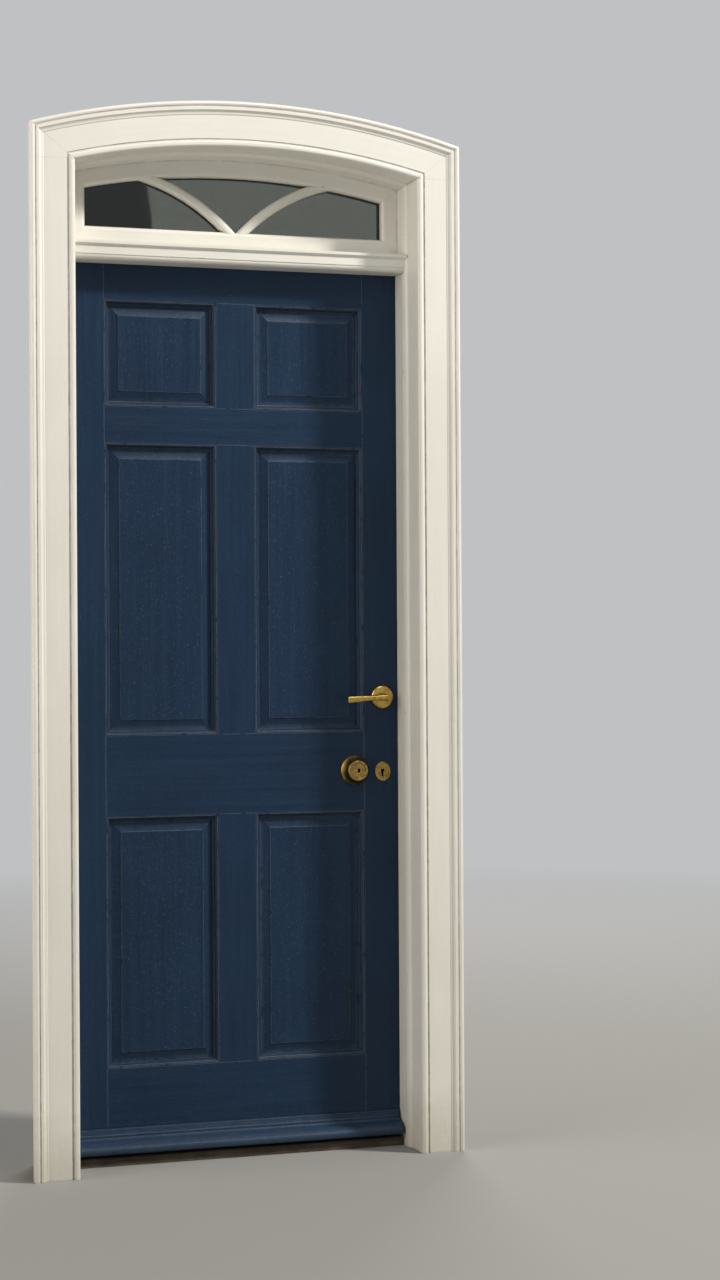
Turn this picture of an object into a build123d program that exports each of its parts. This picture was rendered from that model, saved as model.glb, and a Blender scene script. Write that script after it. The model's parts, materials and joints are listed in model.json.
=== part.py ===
from build123d import *
import math
import os

# Panelled front door with its arched frame, in millimetres.
# X runs to the right seen from outside, Y into the building, Z up; Y = 0 is the outer face of
# the leaf, X = 0 its middle, and Z = 0 the stone the frame stands on.

# Leaf
LEAF_WIDTH = 788.0
LEAF_HEIGHT = 1981.0
LEAF_THICK = 44.0
STILE_WIDTH = 92.0
MUNTIN_WIDTH = 88.0
TOP_RAIL = 88.0
HIGH_PANEL = 237.0
FRIEZE_RAIL = 82.0
LOCK_RAIL_MIDDLE = 860.0
LOCK_RAIL = 180.0
BOTTOM_RAIL = 182.0
PANEL_BACK = 15.0
PANEL_TONGUE = 12.0
GROOVE_DEPTH = 10.0
TENON_THICK = 13.0
TENON_LENGTH = 60.0
MOULD_WIDTH = 12.0
FIELD_MARGIN = 34.5
FIELD_FACE = 7.0

# Frame
DOOR_GAP = 3.0
SILL_GAP = 5.0
STOP_COVER = 10.0
STOP_GAP = 1.0
JAMB_WIDTH = 75.0
JAMB_FRONT = -67.0
ARRIS_DEPTH = 14.0
ARRIS_WIDTH = 8.0
SASH_SET = 49.0
LINING_DEPTH = 50.0
LINING_THICK = 20.0
LINING_HOUSING = 5.0
CASING_WIDTH = 99.0
FIXING_HEIGHTS = (180.0, 680.0, 1180.0, 1680.0)
ARCH_RADIUS = 1640.0
ARCH_CROWN = 197.0
TRANSOM_COVER = 9.0
TRANSOM_HEIGHT = 44.0
THRESHOLD_HEIGHT = 23.0

# Fanlight
SASH_STILE = 49.0
SASH_RAIL = 36.0
SASH_THICK = 40.0
SASH_MOULD = 9.0
SASH_GAP = 2.0
GLASS_THICK = 4.0
GLASS_SET = 17.0
GLASS_GROOVE = 8.0
BAR_RADIUS = 420.0
BAR_WIDTH = 22.0
BAR_LEAN = 16 / 21
BAR_MEET_DROP = 17.97059

# Hinges
HINGE_LENGTH = 100.0
HINGE_FOOT = 275.0
HINGE_HEAD = 200.0
KNUCKLE_RADIUS = 5.5
PIN_RADIUS = 3.0
KNUCKLE_GAP = 1.0
PLATE = 2.0
PLATE_BACK = 16.0
RUN = 0.05

# Locks
BACKSET = 48.0
LEVER_ABOVE_RAIL = 79.0
RIM_BACKSET = 115.0
RIM_LIFT = 2.0
RIM_LENGTH = 149.0
RIM_HEIGHT = 92.0
RIM_DEPTH = 28.0
RIM_WALL = 3.0
KNOB_RADIUS = 9.0
RIM_BOLT_SET = 8.0
RIM_BOLT_THICK = 14.0
RIM_BOLT_HEIGHT = 22.0
CYLINDER_RADIUS = 14.5
PLUG_RADIUS = 6.5
FOREND = 3.0
CASE_BACK = 28.0
CASE_THICK = 16.0
BOLT_THICK = 12.0
STRIKE_WIDTH = 32.0
WALL = 1.5
TAIL_RISE = 22.0
NECK_RADIUS = 8.0
LEVER_STAND = 32.0
LEVER_REACH = 92.0
BOLT_GAP = 0.5

leaf_half = LEAF_WIDTH / 2
leaf_bottom = THRESHOLD_HEIGHT + SILL_GAP
leaf_top = leaf_bottom + LEAF_HEIGHT
leaf_back = LEAF_THICK
leaf_middle = LEAF_THICK / 2
stop_half = leaf_half - STOP_COVER
rebate = STOP_COVER + DOOR_GAP
rebate_half = stop_half + rebate
stile_in = leaf_half - STILE_WIDTH
top_rail_bottom = leaf_top - TOP_RAIL
frieze_top = top_rail_bottom - HIGH_PANEL
frieze_bottom = frieze_top - FRIEZE_RAIL
lock_rail_top = LOCK_RAIL_MIDDLE + LOCK_RAIL / 2
lock_rail_bottom = LOCK_RAIL_MIDDLE - LOCK_RAIL / 2
bottom_rail_top = leaf_bottom + BOTTOM_RAIL
muntin_half = MUNTIN_WIDTH / 2
panel_back_face = PANEL_BACK + PANEL_TONGUE
jamb_back = leaf_back
arris_start = JAMB_FRONT + ARRIS_DEPTH
sash_face = JAMB_FRONT + SASH_SET
lining_front = JAMB_FRONT - LINING_DEPTH
frame_reach = ARRIS_WIDTH + CASING_WIDTH + 13.0
lock_x = leaf_half - BACKSET
pin_x = -(leaf_half + DOOR_GAP / 2)
pin_y = leaf_back + KNUCKLE_RADIUS + KNUCKLE_GAP
hinge_depth = pin_y + 10.0
hinge_low = leaf_bottom + HINGE_FOOT
hinge_high = leaf_top - HINGE_HEAD
hinge_heights = (hinge_low, (hinge_low + hinge_high) / 2, hinge_high)
sash_back = sash_face + SASH_THICK
glass_front = sash_face + GLASS_SET
transom_bottom = leaf_top - TRANSOM_COVER
transom_top = transom_bottom + TRANSOM_HEIGHT
arch_centre_z = transom_top + ARCH_CROWN - ARCH_RADIUS
over_all = transom_top + ARCH_CROWN + JAMB_WIDTH + CASING_WIDTH
beyond = leaf_half + JAMB_WIDTH + CASING_WIDTH
sash_half = rebate_half - SASH_GAP
sash_radius = ARCH_RADIUS + rebate - SASH_GAP
glass_half = sash_half - SASH_STILE
glass_radius = sash_radius - SASH_STILE
glass_bottom = transom_top + SASH_RAIL
bar_rise = BAR_RADIUS * math.sqrt(1 - BAR_LEAN ** 2)
bar_centre = (BAR_RADIUS * BAR_LEAN, glass_bottom - BAR_MEET_DROP - bar_rise)
bar_inner = BAR_RADIUS - BAR_WIDTH / 2
bar_outer = BAR_RADIUS + BAR_WIDTH / 2
lever_z = lock_rail_top + LEVER_ABOVE_RAIL
key_z = LOCK_RAIL_MIDDLE
rim_x = leaf_half - RIM_BACKSET
rim_z = LOCK_RAIL_MIDDLE + RIM_LIFT
tail_z = lever_z + TAIL_RISE
case_in = lock_x - CASE_BACK
case_out = leaf_half - FOREND
case_front = leaf_middle - CASE_THICK / 2
case_back = leaf_middle + CASE_THICK / 2
bolt_front = leaf_middle - BOLT_THICK / 2
bolt_back = leaf_middle + BOLT_THICK / 2
latch_span = (lever_z - 35, lever_z + 40, lever_z - 60, lever_z + 65)
dead_span = (key_z - 30, key_z + 45, key_z - 42, key_z + 57)
keep_x = rebate_half + 1.5
rim_front = leaf_half - 1.0
rim_back = rim_front - RIM_LENGTH
rim_half = RIM_HEIGHT / 2
rim_bolt_front = leaf_back + RIM_BOLT_SET
rim_bolt_back = rim_bolt_front + RIM_BOLT_THICK
rim_bolt_half = RIM_BOLT_HEIGHT / 2
cylinder_end = leaf_back - 12.0


# Plain solids
# Boxes, cylinders and extruded outlines placed in the part's own frame.
# An outline is a list of points; a point given as a triple is the middle of an arc to the next.
def box(x0, x1, y0, y1, z0, z1):
    size = Box(x1 - x0, y1 - y0, z1 - z0)
    return Pos((x0 + x1) / 2, (y0 + y1) / 2, (z0 + z1) / 2) * size


def across(x0, x1, thick, z0, z1):
    """A block in the middle of the leaf's thickness."""
    return box(x0, x1, leaf_middle - thick / 2, leaf_middle + thick / 2, z0, z1)


def rod_y(x, z, radius, y0, y1):
    return Pos(x, (y0 + y1) / 2, z) * Rot(90, 0, 0) * Cylinder(radius, y1 - y0)


def rod_z(x, y, radius, z0, z1):
    return Pos(x, y, (z0 + z1) / 2) * Cylinder(radius, z1 - z0)


def outline(points):
    corners = [p for p in points if len(p) == 2]
    edges = []
    for i, point in enumerate(points):
        if len(point) == 3:
            continue
        following = points[(i + 1) % len(points)]
        if len(following) == 3:
            end = points[(i + 2) % len(points)]
            edges.append(ThreePointArc(point, following[:2], end))
        else:
            edges.append(Line(point, following))
    assert len(corners) == len(edges)
    return make_face(edges)


def prism_x(points, x0, x1):
    face = Plane(origin=(x0, 0, 0), x_dir=(0, 1, 0), z_dir=(1, 0, 0)) * outline(points)
    return extrude(face, amount=x1 - x0, dir=(1, 0, 0))


def prism_y(points, y0, y1):
    face = Plane(origin=(0, y0, 0), x_dir=(1, 0, 0), z_dir=(0, -1, 0)) * outline(points)
    return extrude(face, amount=y1 - y0, dir=(0, 1, 0))


def prism_z(points, z0, z1):
    face = Plane(origin=(0, 0, z0), x_dir=(1, 0, 0), z_dir=(0, 0, 1)) * outline(points)
    return extrude(face, amount=z1 - z0, dir=(0, 0, 1))


def ring_y(points, centre_x, centre_z, angle):
    """Revolve a section of (radius, y) points about a line along Y, to both sides of the top."""
    section = [(p[1], p[0] + centre_z) + tuple(p[2:]) for p in points]
    face = Plane(origin=(centre_x, 0, 0), x_dir=(0, 1, 0), z_dir=(1, 0, 0)) * outline(section)
    axis = Axis((centre_x, 0, centre_z), (0, 1, 0))
    return revolve(face.rotate(axis, -angle), axis=axis, revolution_arc=2 * angle)


def flip(shape):
    return mirror(shape, about=Plane.YZ)


def together(shapes):
    return Compound(children=[s.solid() for s in shapes])


def save(name, shape):
    export_step(shape, f"parts/{name}.step")


# Cuts along a line in the front view
# Keeps the part of a solid on one side of the line from (x0, z0) to (x1, z1).
# A side of +1 keeps what lies to the right of the direction of travel.
def keep_side(shape, start, end, side):
    dx = end[0] - start[0]
    dz = end[1] - start[1]
    plane = Plane(origin=(start[0], 0, start[1]), z_dir=(side * dz, 0, -side * dx))
    return split(shape, bisect_by=plane, keep=Keep.TOP)


def arch_z(radius, x):
    return arch_centre_z + math.sqrt(radius ** 2 - x ** 2)


# Frame sections
# Points (offset, y), with the offset measured outward from the face of the door stop, so that
# one section serves the straight legs and the arch.
def stop_nose():
    return [
        (0, -STOP_GAP),
        (0, arris_start),
        (1.0, arris_start - 0.5),
        (2.6, JAMB_FRONT + 5.6, 0),
        (ARRIS_WIDTH, JAMB_FRONT),
    ]


def stop_section():
    return stop_nose() + [(rebate, JAMB_FRONT), (rebate, -STOP_GAP)]


def board_section():
    return [
        (rebate, JAMB_FRONT),
        (JAMB_WIDTH, JAMB_FRONT),
        (JAMB_WIDTH, jamb_back),
        (rebate, jamb_back),
    ]


def head_section():
    return stop_nose() + [
        (JAMB_WIDTH, JAMB_FRONT),
        (JAMB_WIDTH, jamb_back),
        (rebate, jamb_back),
        (rebate, -STOP_GAP),
    ]


def lining_section():
    outer = ARRIS_WIDTH + LINING_THICK
    front = lining_front - LINING_HOUSING
    return [
        (ARRIS_WIDTH, front),
        (outer, front),
        (outer, JAMB_FRONT),
        (ARRIS_WIDTH, JAMB_FRONT),
    ]


def casing_section():
    u = ARRIS_WIDTH
    w = ARRIS_WIDTH + CASING_WIDTH
    y = lining_front
    return [
        (u, y - LINING_HOUSING),
        (u, y - 12.5),
        (u + 1.8, y - 18.8, 0),
        (u + 7.5, y - 20.5),
        (u + 11.6, y - 19.4, 0),
        (u + 13.5, y - 15.5),
        (u + 17.5, y - 15.5),
        (u + 17.5, y - 17.5),
        (w - 30.5, y - 17.5),
        (w - 28.5, y - 19.0),
        (w - 22.5, y - 20.6, 0),
        (w - 19.5, y - 24.0),
        (w - 13.0, y - 24.0),
        (w - 13.0, y - 22.5),
        (w - 11.0, y - 22.5),
        (w - 6.0, y - 26.0, 0),
        (w, y - 22.5),
        (w, y),
        (u + LINING_THICK, y),
        (u + LINING_THICK, y - LINING_HOUSING),
    ]


def chords(points, count):
    """Replace every arc of a section by short chords."""
    flat = []
    for i, point in enumerate(points):
        if len(point) == 3:
            arc = ThreePointArc(points[i - 1], point[:2], points[(i + 1) % len(points)])
            for k in range(1, count):
                here = arc @ (k / count)
                flat.append((here.X, here.Y))
        else:
            flat.append(point)
    return flat


def leg(section, z0, z1, edge):
    points = [(edge + p[0], p[1]) + tuple(p[2:]) for p in section]
    return prism_z(points, z0, z1)


def arch(section, radius):
    points = [(radius + p[0], p[1]) + tuple(p[2:]) for p in section]
    reach = math.degrees(math.asin((stop_half + frame_reach) / radius)) + 1.0
    return ring_y(points, 0, arch_centre_z, reach)


def mitre_line(inner_x, inner_r, outer_x, outer_r):
    return (inner_x, arch_z(inner_r, inner_x)), (outer_x, arch_z(outer_r, outer_x))


def frame_mitre():
    far = frame_reach
    return mitre_line(stop_half, ARCH_RADIUS, stop_half + far, ARCH_RADIUS + far)


def mitred_leg(section):
    start, end = frame_mitre()
    return keep_side(leg(section, 0, over_all, stop_half), start, end, 1)


def mitred_arch(section):
    start, end = frame_mitre()
    top = keep_side(arch(section, ARCH_RADIUS), start, end, -1)
    return keep_side(top, (-start[0], start[1]), (-end[0], end[1]), 1)


# Jambs and arched head
# Each jamb is a board with a planted stop; the head is worked from the solid. The rebate is
# deeper above the transom, where the sash sits further forward than the leaf. The jambs take
# the hinge plates on the left and the strike plates on the right.
def sash_pocket():
    x0 = stop_half - 1
    return box(x0, rebate_half, sash_face, -STOP_GAP, transom_top, over_all)


def fixing_holes():
    length = JAMB_WIDTH + 20
    hole = Rot(0, 90, 0) * Cylinder(4.0, length)
    sink = Rot(0, 90, 0) * Cylinder(8.0, 6.0)
    holes = [Pos(stop_half + length / 2, 22, z) * hole for z in FIXING_HEIGHTS]
    sinks = [Pos(rebate_half + 2.0, 22, z) * sink for z in FIXING_HEIGHTS]
    return holes + sinks


def latch_strike_space():
    x = rebate_half
    plate = across(x, x + PLATE, STRIKE_WIDTH, lever_z - 15, lever_z + 55)
    pocket = across(x, x + 11, CASE_THICK, tail_z - 11, tail_z + 9)
    return plate + pocket


def deadlock_strike_space():
    x = rebate_half
    plate = across(x, x + PLATE, STRIKE_WIDTH, key_z - 35, key_z + 55)
    pocket = across(x, x + 16, CASE_THICK, key_z + 4, key_z + 32)
    return plate + pocket


def jambs_and_head():
    stop = mitred_leg(stop_section()) - sash_pocket()
    board = mitred_leg(board_section())
    for hole in fixing_holes():
        board = board - hole
    head_pocket = arch([
        (-1, sash_face), (rebate, sash_face), (rebate, -STOP_GAP), (-1, -STOP_GAP),
    ], ARCH_RADIUS)
    left = flip(board)
    for z in hinge_heights:
        left = left - box(-rebate_half - PLATE, -rebate_half, PLATE_BACK, hinge_depth,
                          z - HINGE_LENGTH / 2, z + HINGE_LENGTH / 2)
    right = board - latch_strike_space() - deadlock_strike_space()
    head = mitred_arch(head_section()) - head_pocket
    return (left, flip(stop)), (right, stop), head


# Casing
# The straight boards stop level with the inner corner, and a corner block above each meets the
# arched board in a mitre, so the joint across the flat is horizontal.
def casing_pieces():
    start, end = frame_mitre()
    joint = arch_z(ARCH_RADIUS + ARRIS_WIDTH, stop_half + ARRIS_WIDTH)
    section = chords(casing_section(), 4)
    right = mitred_leg(section)
    top = mitred_arch(section)
    board = right & box(0, beyond, -beyond, 0, 0, joint)
    corner = right & box(0, beyond, -beyond, 0, joint, over_all)
    return flip(board), board, together([top, corner, flip(corner)])


# Transom and threshold
# Both run between the jambs and are scribed to the jamb section.
def transom(jamb_parts):
    y = JAMB_FRONT
    bar = prism_x([
        (jamb_back, leaf_top + DOOR_GAP),
        (jamb_back, transom_top),
        (sash_face, transom_top),
        (sash_face - 2, transom_top + 1),
        (y, transom_top - 4),
        (y, transom_top - 10),
        (y + 2.6, transom_top - 12.8, 0),
        (y + 5.5, transom_top - 15),
        (y + 5.5, transom_bottom + 11.5),
        (y + 7, transom_bottom + 11.5),
        (y + 7, transom_bottom + 10),
        (y + 9.5, transom_bottom + 3.2, 0),
        (y + 17, transom_bottom),
        (-STOP_GAP, transom_bottom),
        (-STOP_GAP, leaf_top + DOOR_GAP),
    ], -rebate_half, rebate_half)
    for part in jamb_parts:
        bar = bar - part
    return bar


def threshold(jamb_parts):
    bar = prism_x([
        (-30, 0),
        (jamb_back, 0),
        (jamb_back, THRESHOLD_HEIGHT),
        (-2, THRESHOLD_HEIGHT),
        (-26, THRESHOLD_HEIGHT - 3),
        (-29, THRESHOLD_HEIGHT - 4.5, 0),
        (-30, THRESHOLD_HEIGHT - 8),
    ], -rebate_half, rebate_half)
    for part in jamb_parts:
        bar = bar - part
    return bar


# Fanlight sash
# Four moulded members with a groove for the glass, mitred at every corner.
def sash_section(width):
    y0 = sash_face
    g0 = glass_front
    g1 = glass_front + GLASS_THICK
    return [
        (0, y0 + SASH_MOULD),
        (2.6, y0 + 2.6, 0),
        (SASH_MOULD, y0),
        (width, y0),
        (width, sash_back),
        (0, sash_back),
        (0, g1),
        (GLASS_GROOVE, g1),
        (GLASS_GROOVE, g0),
        (0, g0),
    ]


def sash_members():
    inner = (glass_half, glass_bottom)
    low = (glass_half + 60, glass_bottom - 60)
    stile_points = sash_section(sash_half - glass_half)
    rail_points = sash_section(glass_bottom - transom_top)
    head_points = sash_section(sash_radius - glass_radius)
    start, end = mitre_line(glass_half, glass_radius, sash_half, sash_radius)
    stile = leg(stile_points, transom_top, over_all, glass_half)
    stile = keep_side(stile, start, end, 1)
    stile = keep_side(stile, inner, low, -1)
    rail = prism_x([(p[1], glass_bottom - p[0]) + tuple(p[2:]) for p in rail_points],
                   -sash_half, sash_half)
    rail = keep_side(rail, inner, low, 1)
    rail = keep_side(rail, (-inner[0], inner[1]), (-low[0], low[1]), -1)
    head = arch(head_points, glass_radius)
    head = keep_side(head, start, end, -1)
    head = keep_side(head, (-start[0], start[1]), (-end[0], end[1]), 1)
    return rail, flip(stile), stile, head


# Fanlight bars
# Each bar is an arc with a moulded nose and a glass groove on both sides, scribed into the
# sash members, and the two meet on the centre line.
def fan_bar(rail, head):
    y0 = sash_face + 1
    g0 = glass_front
    g1 = glass_front + GLASS_THICK
    r0 = bar_inner
    r1 = bar_outer
    deep = 5.5
    points = [
        (r0, y0 + 8), (r0 + 3.4, y0 + 2.4, 0), (r0 + 8.5, y0), (r1 - 8.5, y0),
        (r1 - 3.4, y0 + 2.4, 0), (r1, y0 + 8), (r1, g0), (r1 - deep, g0), (r1 - deep, g1),
        (r1, g1), (r1, sash_back - 4), (r0, sash_back - 4), (r0, g1), (r0 + deep, g1),
        (r0 + deep, g0), (r0, g0),
    ]
    bar = ring_y(points, bar_centre[0], bar_centre[1], 70.0)
    bar = bar & box(0, glass_half, -60, 60, glass_bottom - SASH_MOULD, over_all)
    limit = glass_radius + SASH_MOULD
    disc = rod_y(0, arch_centre_z, limit, -60, 60)
    bar = (bar & disc) - rail - head
    return max(bar.solids(), key=lambda s: s.volume)


# Panes
# Three sheets cut to the sash opening and to the sides of the bars, with room in every groove.
def panes():
    room = GLASS_GROOVE - 1
    y0 = glass_front
    y1 = glass_front + GLASS_THICK
    opening = box(-glass_half - room, glass_half + room, y0, y1, glass_bottom - room, over_all)
    opening = opening & rod_y(0, arch_centre_z, glass_radius + room, y0 - 1, y1 + 1)
    bx, bz = bar_centre
    side = opening & rod_y(bx, bz, bar_inner + 5, y0 - 1, y1 + 1)
    outside = rod_y(bx, bz, bar_outer - 5, y0 - 1, y1 + 1)
    centre = opening - outside - flip(outside)
    centre = centre & box(-bar_centre[0], bar_centre[0], y0, y1, glass_bottom - room, over_all)
    side = max(side.solids(), key=lambda s: s.volume)
    centre = max(centre.solids(), key=lambda s: s.volume)
    return together([flip(side), centre, side])


# Glazing beads
# Square beads inside the rebate press the sash against its stop.
def glazing_beads():
    y0 = sash_back
    y1 = sash_back + 14
    width = rebate
    section = [(0, y0), (width, y0), (width, y1), (3, y1), (0, y1 - 3)]
    start, end = frame_mitre()
    side = leg(section, transom_top, over_all, stop_half)
    side = keep_side(side, start, end, 1)
    top = keep_side(arch(section, ARCH_RADIUS), start, end, -1)
    top = keep_side(top, (-start[0], start[1]), (-end[0], end[1]), 1)
    z = transom_top
    low = prism_x([(y0, z), (y1, z), (y1, z + width - 3), (y1 - 3, z + width), (y0, z + width)],
                  -stop_half, stop_half)
    return together([flip(side), side, top, low])


# Leaf frame
# Stiles, rails and muntins with grooves for the panels and stub tenons; the lock rail has a
# pair of tenons so that the deadlock fits between them.
def groove(x0, x1, z0, z1):
    g = GROOVE_DEPTH
    return box(x0 - g, x1 + g, PANEL_BACK, panel_back_face, z0 - g, z1 + g)


def rows():
    return (
        (bottom_rail_top, lock_rail_bottom),
        (lock_rail_top, frieze_bottom),
        (frieze_top, top_rail_bottom),
    )


def panel_openings():
    columns = ((-stile_in, -muntin_half), (muntin_half, stile_in))
    return [(x0, x1, z0, z1) for z0, z1 in rows() for x0, x1 in columns]


def tenon_spans():
    return (
        (leaf_bottom + 30, bottom_rail_top - 20),
        (lock_rail_bottom + 12, dead_span[0] - 16),
        (dead_span[1] + 1, lock_rail_top - 12),
        (frieze_bottom + 14, frieze_top - 14),
        (top_rail_bottom + 14, leaf_top - 24),
    )


def tenon(z0, z1, side):
    y0 = (LEAF_THICK - TENON_THICK) / 2
    x0 = stile_in
    x1 = stile_in + TENON_LENGTH
    block = box(x0, x1, y0, y0 + TENON_THICK, z0, z1)
    return block if side > 0 else flip(block)


def rail(z0, z1):
    bar = box(-stile_in, stile_in, 0, leaf_back, z0, z1)
    for t0, t1 in tenon_spans():
        if z0 < t0 and t1 < z1:
            bar = bar + tenon(t0, t1, 1) + tenon(t0, t1, -1)
    for x0, x1, p0, p1 in panel_openings():
        bar = bar - groove(x0, x1, p0, p1)
    return bar


def stile(side):
    bar = box(stile_in, leaf_half, 0, leaf_back, leaf_bottom, leaf_top)
    if side < 0:
        bar = flip(bar)
    for z0, z1 in tenon_spans():
        bar = bar - tenon(z0, z1, side)
    for x0, x1, z0, z1 in panel_openings():
        bar = bar - groove(x0, x1, z0, z1)
    return bar


def muntin(z0, z1):
    bar = box(-muntin_half, muntin_half, 0, leaf_back, z0, z1)
    for x0, x1, p0, p1 in panel_openings():
        bar = bar - box(x0 - GROOVE_DEPTH, x1 + GROOVE_DEPTH, PANEL_BACK, panel_back_face,
                        z0 - 1, z1 + 1)
    return bar


# Panels
# The tongue runs in the groove; the outer face has a bevelled margin and a raised field.
def panel(x0, x1, z0, z1):
    reach = GROOVE_DEPTH - 1.5
    sheet = box(x0 - reach, x1 + reach, PANEL_BACK, panel_back_face, z0 - reach, z1 + reach)
    near = MOULD_WIDTH + 0.5
    far = FIELD_MARGIN
    rise = FIELD_FACE + 1.2
    low = Plane(origin=((x0 + x1) / 2, PANEL_BACK, (z0 + z1) / 2), x_dir=(1, 0, 0),
                z_dir=(0, -1, 0))
    wide = low * Rectangle(x1 - x0 - 2 * near, z1 - z0 - 2 * near)
    high = low.offset(PANEL_BACK - rise) * Rectangle(x1 - x0 - 2 * far, z1 - z0 - 2 * far)
    raised = loft([wide, high])
    field = box(x0 + far, x1 - far, FIELD_FACE, rise, z0 + far, z1 - far)
    return sheet + raised + field


# Panel mouldings
# Sticks mitred round each panel: an ovolo and a small fillet outside, a plain bead inside.
def stick(length, points):
    bar = prism_x([(p[1], p[0]) + tuple(p[2:]) for p in points], -length / 2, length / 2)
    half = length / 2
    bar = keep_side(bar, (-half, 0), (-half + 50, 50), 1)
    return keep_side(bar, (half, 0), (half - 50, 50), -1)


def mould_ring(x0, x1, z0, z1, points):
    wide = stick(x1 - x0, points)
    tall = stick(z1 - z0, points)
    cx = (x0 + x1) / 2
    cz = (z0 + z1) / 2
    return [
        Pos(cx, 0, z0) * wide,
        Pos(cx, 0, z1) * Rot(0, 180, 0) * wide,
        Pos(x0, 0, cz) * Rot(0, 90, 0) * tall,
        Pos(x1, 0, cz) * Rot(0, -90, 0) * tall,
    ]


def outer_mould():
    return [
        (0, PANEL_BACK), (0, 0.8), (1.6, 0.8), (1.6, 2.2), (7.2, 4.4, 0),
        (MOULD_WIDTH - 3.2, PANEL_BACK - 5.4), (MOULD_WIDTH, PANEL_BACK - 3.6),
        (MOULD_WIDTH, PANEL_BACK),
    ]


def inner_mould():
    b = panel_back_face
    return [
        (0, b), (MOULD_WIDTH, b), (MOULD_WIDTH, b + 3.0),
        (MOULD_WIDTH - 3.6, leaf_back - 5.0, 0), (1.6, leaf_back - 2.0), (0, leaf_back - 2.0),
    ]


def mouldings(points):
    sticks = []
    for x0, x1, z0, z1 in panel_openings():
        sticks += mould_ring(x0, x1, z0, z1, points)
    return together(sticks)


# Weatherboard
# A moulded board that throws rain clear of the threshold; its lock end is splayed because it
# swings inward past the jamb.
def weatherboard():
    z = leaf_bottom
    board = prism_x([
        (0, z), (-22, z), (-22, z + 5), (-28, z + 5), (-28, z), (-42, z), (-45, z + 2),
        (-46, z + 8, 0), (-44, z + 15), (-36, z + 21.5, 0), (-20, z + 27), (-14, z + 29.5, 0),
        (-12, z + 34), (-12, z + 37), (-10, z + 38.5), (-7, z + 50), (0, z + 51),
    ], -stop_half + 2, stop_half)
    return board - prism_z([
        (stop_half - 3, 1), (stop_half - 9, -60), (stop_half + 9, -60), (stop_half + 9, 1),
    ], 0, 200)


# Butt hinges
# Plates let into the rebate and the leaf edge, five knuckles on a loose pin; the frame holds
# knuckles 1, 3 and 5, and the leaf holds 2 and 4.
def hinge_half(z, mine, others, x0, x1):
    z0 = z - HINGE_LENGTH / 2
    step = HINGE_LENGTH / 5
    plate = box(x0, x1, PLATE_BACK, pin_y, z0, z0 + HINGE_LENGTH)
    for k in others:
        plate = plate - rod_z(pin_x, pin_y, KNUCKLE_RADIUS + 0.5, z0 + k * step - 0.3,
                              z0 + (k + 1) * step + 0.3)
    for k in mine:
        plate = plate + rod_z(pin_x, pin_y, KNUCKLE_RADIUS, z0 + k * step,
                              z0 + (k + 1) * step)
    return plate - rod_z(pin_x, pin_y, PIN_RADIUS + RUN, z0 - 1, z0 + HINGE_LENGTH + 1)


def hinge_pin(z):
    half = HINGE_LENGTH / 2
    pin = rod_z(pin_x, pin_y, PIN_RADIUS, z - half - 2, z + half)
    head = rod_z(pin_x, pin_y, 4.6, z + half, z + half + 3)
    return pin + head


def hinges():
    low = -rebate_half - PLATE
    frame = [hinge_half(z, (0, 2, 4), (1, 3), low, low + PLATE) for z in hinge_heights]
    door = [hinge_half(z, (1, 3), (0, 2, 4), -leaf_half, -leaf_half + PLATE)
            for z in hinge_heights]
    pins = [hinge_pin(z) for z in hinge_heights]
    return together(frame), together(door), together(pins)


# Latch
# Case and forend in the lock stile. The follower on the spindle pushes the draw plate, which
# pulls the bolt in by its tail; the stored position of the bolt is flush with the forend.
def lock_case(z0, z1, f0, f1):
    shell = across(case_in, case_out, CASE_THICK, z0, z1)
    shell = shell - across(case_in + WALL, case_out, CASE_THICK - 2 * WALL, z0 + WALL, z1 - WALL)
    return shell + across(case_out, leaf_half, CASE_THICK + 8, f0, f1)


def lock_space(z0, z1, f0, f1):
    return (across(case_in, case_out, CASE_THICK, z0, z1)
            + across(case_out, leaf_half + 1, CASE_THICK + 8, f0, f1))


def latch_case():
    case = lock_case(*latch_span)
    case = case - across(case_out - 1, leaf_half + 1, BOLT_THICK + 2 * BOLT_GAP,
                         tail_z - 8 - BOLT_GAP, tail_z + 8 + BOLT_GAP)
    return case - rod_y(lock_x, lever_z, 6.6, 0, leaf_back)


def latch_bolt():
    slope = BOLT_THICK - 3
    head = across(leaf_half - 14, leaf_half, BOLT_THICK, tail_z - 8, tail_z + 8)
    bevel = prism_z([
        (leaf_half + 0.1, bolt_front - 1), (leaf_half - slope, bolt_front - 1),
        (leaf_half - slope, bolt_front), (leaf_half, bolt_front + slope),
        (leaf_half + 0.1, bolt_front + slope),
    ], tail_z - 9, tail_z + 9)
    tail = across(lock_x - 22, leaf_half - 14, 4, tail_z - 2, tail_z + 2)
    end = across(lock_x - 22, lock_x - 17.4, 8, tail_z - 5, tail_z + 5)
    return head - bevel + tail + end


def latch_draw():
    plate = across(lock_x - 6.8, lock_x - 3.8, 9, tail_z - 13, tail_z + 8)
    return plate - across(lock_x - 10, lock_x, 5, tail_z - 2.5, tail_z + 2.5)


def spindle():
    end = LEVER_STAND - 2
    bar = box(lock_x - 4, lock_x + 4, -end, leaf_back + end, lever_z - 4, lever_z + 4)
    hub = rod_y(lock_x, lever_z, 8.5, leaf_middle - 4.5, leaf_middle + 4.5)
    nose = across(lock_x - 3, lock_x + 3, 9, lever_z + 4, tail_z - 6)
    return bar + hub + nose


# Deadlock
# Case, forend and square bolt; the key hole goes through the outer side of the stile only.
def keyhole(y0, y1, radius, slot):
    return (rod_y(lock_x, key_z, radius, y0, y1)
            + box(lock_x - slot / 2, lock_x + slot / 2, y0, y1, key_z - 14, key_z))


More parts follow.
